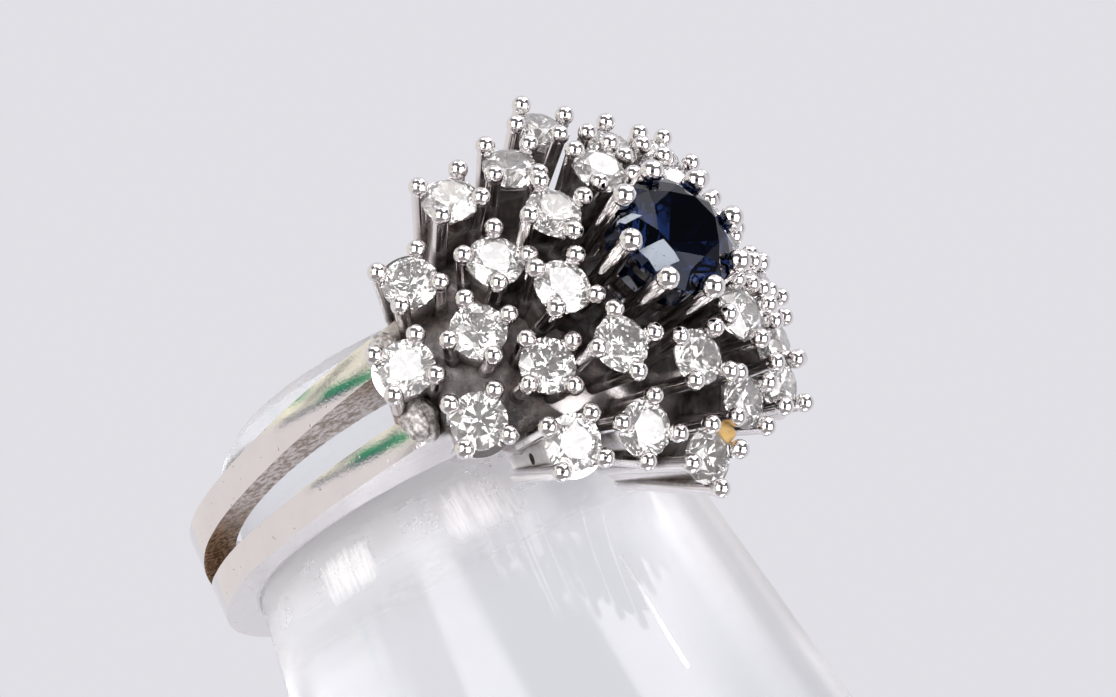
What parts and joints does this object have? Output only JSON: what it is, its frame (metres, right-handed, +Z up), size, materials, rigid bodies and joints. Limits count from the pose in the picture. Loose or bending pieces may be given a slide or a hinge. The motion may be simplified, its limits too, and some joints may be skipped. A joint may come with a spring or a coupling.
{
  "type": "sapphire ring on a clear cone stand",
  "caption": "Domed cluster ring: a round sapphire among stepped rows of small claw-set diamonds on a split shank, resting on a clear display cone.",
  "frame": {"origin": "centre of the stand's flat base", "axes": "+Z up along the display cone; the ring's stones face -Y; +X runs across the ring's head"},
  "size_m": [0.034, 0.0369, 0.0706],
  "materials": {
    "ring": "polished",
    "sapphire": "polished, faceted",
    "diamond": "polished, faceted",
    "stand": "clear, polished"
  },
  "bodies": {
    "root": {"stand": "stand", "ring": "ring", "sapphire": "sapphire", "diamond_01": "diamond", "diamond_02": "diamond", "diamond_03": "diamond", "diamond_04": "diamond", "diamond_05": "diamond", "diamond_06": "diamond", "diamond_07": "diamond", "diamond_08": "diamond", "diamond_09": "diamond", "diamond_10": "diamond", "diamond_11": "diamond", "diamond_12": "diamond", "diamond_13": "diamond", "diamond_14": "diamond", "diamond_15": "diamond", "diamond_16": "diamond", "diamond_17": "diamond", "diamond_18": "diamond", "diamond_19": "diamond", "diamond_20": "diamond", "diamond_21": "diamond", "diamond_22": "diamond", "diamond_23": "diamond", "diamond_24": "diamond", "diamond_25": "diamond", "diamond_26": "diamond", "diamond_27": "diamond", "diamond_28": "diamond", "diamond_29": "diamond", "diamond_30": "diamond"}
  },
  "joints": []
}
